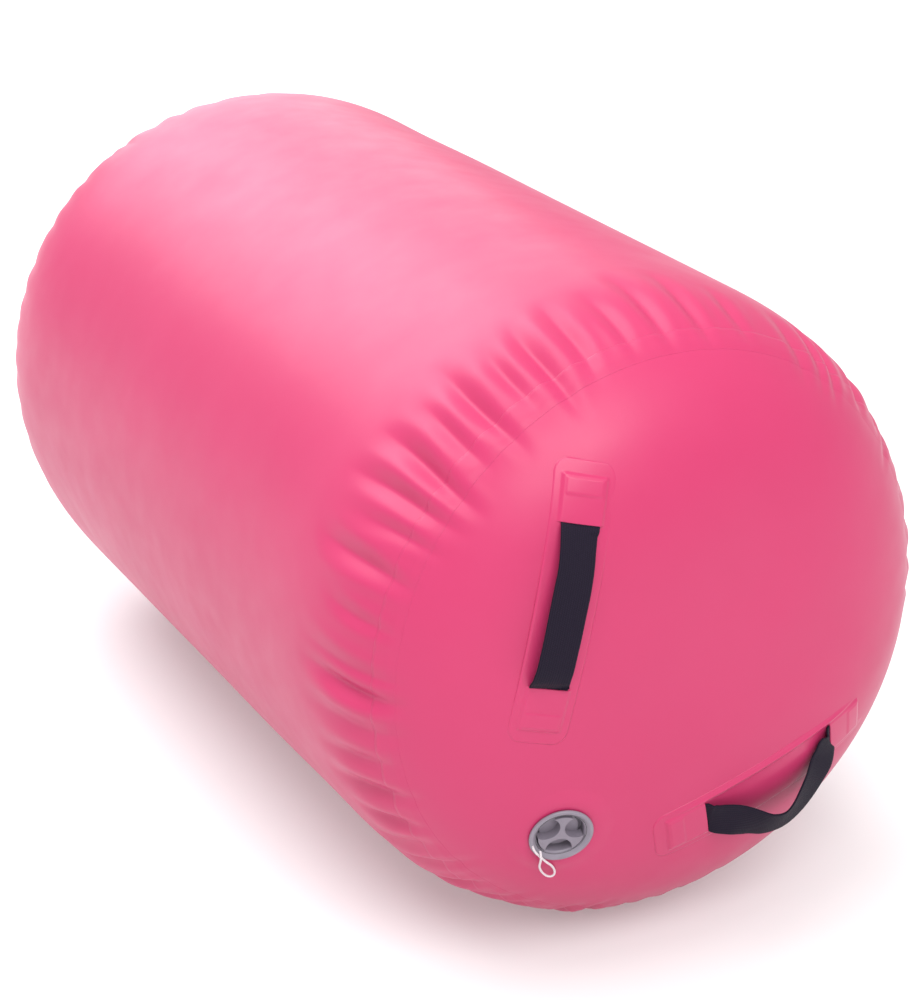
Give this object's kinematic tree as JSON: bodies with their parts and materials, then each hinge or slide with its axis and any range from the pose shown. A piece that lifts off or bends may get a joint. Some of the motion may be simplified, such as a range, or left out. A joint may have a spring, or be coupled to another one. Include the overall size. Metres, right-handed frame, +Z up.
{
  "type": "inflatable gymnastics roll",
  "caption": "Inflatable fabric gymnastics roll lying on its side, with domed ends, webbing handles and a screw-capped inflation valve.",
  "frame": {"origin": "on the floor, under the middle of the roll, at the centre of the flat that it rests on", "axes": "+Z up, +Y along the roll's axis towards the plain rear end, and the end with the valve and handles faces -Y"},
  "size_m": [0.5998, 1.1162, 0.5985],
  "materials": {
    "pvc_skin": "smooth coated fabric, satin, pink",
    "pvc_tape": "smooth coated fabric tape, satin, pink",
    "pvc_patch": "smooth coated fabric patch with welded edges, pink",
    "webbing": "plain woven polyester webbing, near black",
    "valve_plastic": "moulded, satin, mauve grey",
    "cap_plastic": "moulded, satin, mauve grey",
    "seal_rubber": "soft moulded rubber",
    "spring_steel": "drawn wire",
    "tether_cord": "braided cord, white"
  },
  "bodies": {
    "root": {"side_wall": "pvc_skin", "side_seam_tape": "pvc_tape", "front_end_panel": "pvc_skin", "rear_end_panel": "pvc_skin", "front_seam_tape": "pvc_tape", "rear_seam_tape": "pvc_tape", "left_handle_patch": "pvc_patch", "left_handle_tails": "webbing", "right_handle_patch": "pvc_patch", "right_handle_tails": "webbing", "valve_doubler": "pvc_patch", "valve_gasket": "seal_rubber", "valve_body": "valve_plastic", "valve_nut": "valve_plastic", "poppet_spring": "spring_steel", "cap_tether": "tether_cord"},
    "left_loop": {"left_handle_loop": "webbing"},
    "right_loop": {"right_handle_loop": "webbing"},
    "cap_carrier": {"cap_seal": "seal_rubber"},
    "cap": {"valve_cap": "cap_plastic"},
    "poppet": {"poppet_stem": "valve_plastic", "poppet_seal": "seal_rubber"}
  },
  "joints": [
    {"name": "left_handle_swing", "type": "hinge", "parent": "root", "child": "left_loop", "pos_m": [-0.13645, -0.52784, 0.38376], "axis": [0.2436, 0.0871, 0.966], "range_deg": [-28, 24]},
    {"name": "right_handle_swing", "type": "hinge", "parent": "root", "child": "right_loop", "pos_m": [0.07622, -0.53089, 0.16911], "axis": [0.9554, 0.0573, 0.2899], "range_deg": [-74, 3]},
    {"name": "cap_lift", "type": "slide", "parent": "root", "child": "cap_carrier", "axis": [-0.2446, -0.9383, -0.2446], "range_m": [0, 0.01201]},
    {"name": "cap_turn", "type": "hinge", "parent": "cap_carrier", "child": "cap", "pos_m": [-0.13364, -0.52397, 0.16486], "axis": [-0.2446, -0.9383, -0.2446], "range_deg": [0, 360]},
    {"name": "poppet_push", "type": "slide", "parent": "root", "child": "poppet", "axis": [0.2446, 0.9383, 0.2446], "range_m": [0, 0.006], "stiffness_N_per_m": 600, "springref_m": -0.004, "deforming": ["poppet_spring"]}
  ],
  "couplings": [
    {"joint": "cap_lift", "follows": "cap_turn", "m_per_rad": 0.0019099}
  ]
}
